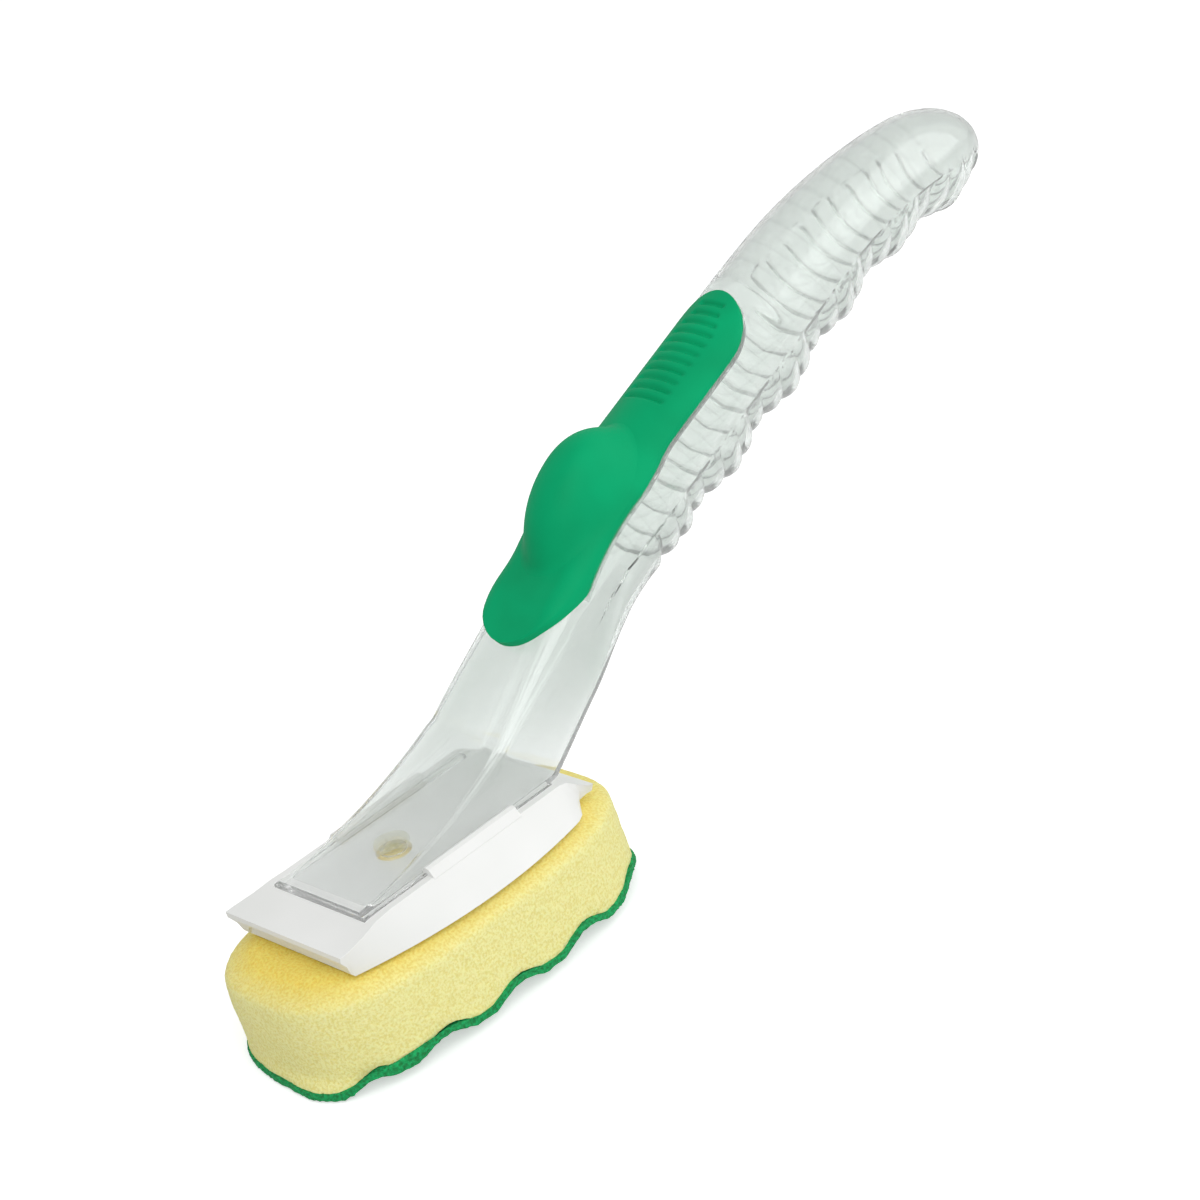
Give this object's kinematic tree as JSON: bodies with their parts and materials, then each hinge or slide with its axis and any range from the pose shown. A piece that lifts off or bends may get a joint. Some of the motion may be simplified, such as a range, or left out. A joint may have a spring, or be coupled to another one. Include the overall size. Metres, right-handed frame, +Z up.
{
  "type": "dish wand",
  "caption": "Soap dispensing dish wand: hollow clear handle with ribbed finger grip, rubber filling flap and squeeze dome, on a slide-on white plate with a waved sponge.",
  "frame": {"origin": "middle of the flat wave crest under the scouring layer, on the wand's plane of symmetry", "axes": "+X from the sponge's toe end to the handle's tip, +Z up from the scouring face, +Y to the wand's left"},
  "size_m": [0.2613, 0.053, 0.1168],
  "materials": {
    "clear_plastic": "gloss",
    "valve_rubber": "satin",
    "green_rubber": "satin",
    "white_plastic": "gloss",
    "sponge": "matte",
    "scourer": "matte"
  },
  "bodies": {
    "handle": {"back_shell": "clear_plastic", "grip_shell": "clear_plastic", "outlet_valve": "valve_rubber", "grip_tail": "green_rubber"},
    "refill": {"refill_plate": "white_plastic", "foam_sponge": "sponge", "scour_pad": "scourer"},
    "flap": {"fill_flap": "green_rubber"},
    "dome": {"squeeze_dome": "green_rubber"}
  },
  "joints": [
    {"name": "refill_slide", "type": "slide", "parent": "handle", "child": "refill", "axis": [-1, 0, 0], "range_m": [0, 0.075]},
    {"name": "flap_hinge", "type": "hinge", "parent": "handle", "child": "flap", "pos_m": [0.09915, 0, 0.0888], "axis": [0, 1, 0], "range_deg": [0, 70], "stiffness_Nm_per_rad": 0.02},
    {"name": "dome_press", "type": "slide", "parent": "flap", "child": "dome", "axis": [0.3665, 0, -0.9304], "range_m": [0, 0.005], "stiffness_N_per_m": 600}
  ]
}
